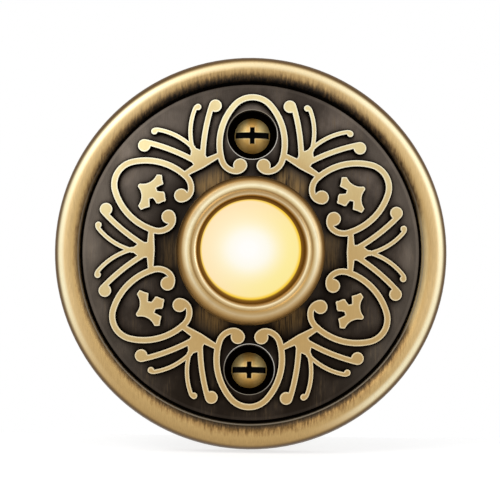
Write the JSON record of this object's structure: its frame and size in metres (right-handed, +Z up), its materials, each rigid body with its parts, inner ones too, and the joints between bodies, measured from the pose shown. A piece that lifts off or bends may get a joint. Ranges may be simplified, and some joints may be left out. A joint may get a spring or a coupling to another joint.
{
  "type": "doorbell push button",
  "caption": "Round lighted doorbell push button: cast cover with scroll relief, ringed centre button that pushes in, and a switch base behind.",
  "frame": {"origin": "on the push axis in the plane of the wall, at the centre of the cover's back rim", "axes": "+Z up the wall, +X to the right seen from the front, +Y into the wall, so the button looks along -Y"},
  "size_m": [0.0636, 0.0289, 0.0636],
  "materials": {
    "antique_brass": "antique brass, brushed and relieved",
    "satin_brass": "satin",
    "lens": "translucent, lit from behind",
    "white_plastic": "moulded",
    "black_plastic": "moulded",
    "contact_brass": "stamped",
    "zinc_steel": "zinc plated",
    "screw_brass": "polished, a little worn",
    "board": "paper laminate",
    "led_epoxy": "clear",
    "part_body": "lacquered"
  },
  "bodies": {
    "switch": {"cover": "antique_brass", "bezel": "satin_brass", "bezel_washer": "zinc_steel", "bezel_nut": "contact_brass", "return_spring": "zinc_steel", "switch_base": "black_plastic", "terminal_strip_right": "contact_brass", "terminal_strip_left": "contact_brass", "contact_rivets": "contact_brass", "board_rivets": "contact_brass", "terminal_screws": "contact_brass", "terminal_washers": "contact_brass", "terminal_nuts": "contact_brass", "base_screws": "zinc_steel", "mounting_screws": "screw_brass", "lamp_board": "board", "lamp_led": "led_epoxy", "resistor": "part_body", "diode": "part_body"},
    "button": {"button_lens": "lens", "button_plunger": "white_plastic", "contact_ring": "contact_brass"}
  },
  "joints": [
    {"name": "button_press", "type": "slide", "parent": "switch", "child": "button", "axis": [0, 1, 0], "range_m": [0, 0.0015], "stiffness_N_per_m": 900, "springref_m": -0.001, "deforming": ["return_spring"]}
  ]
}
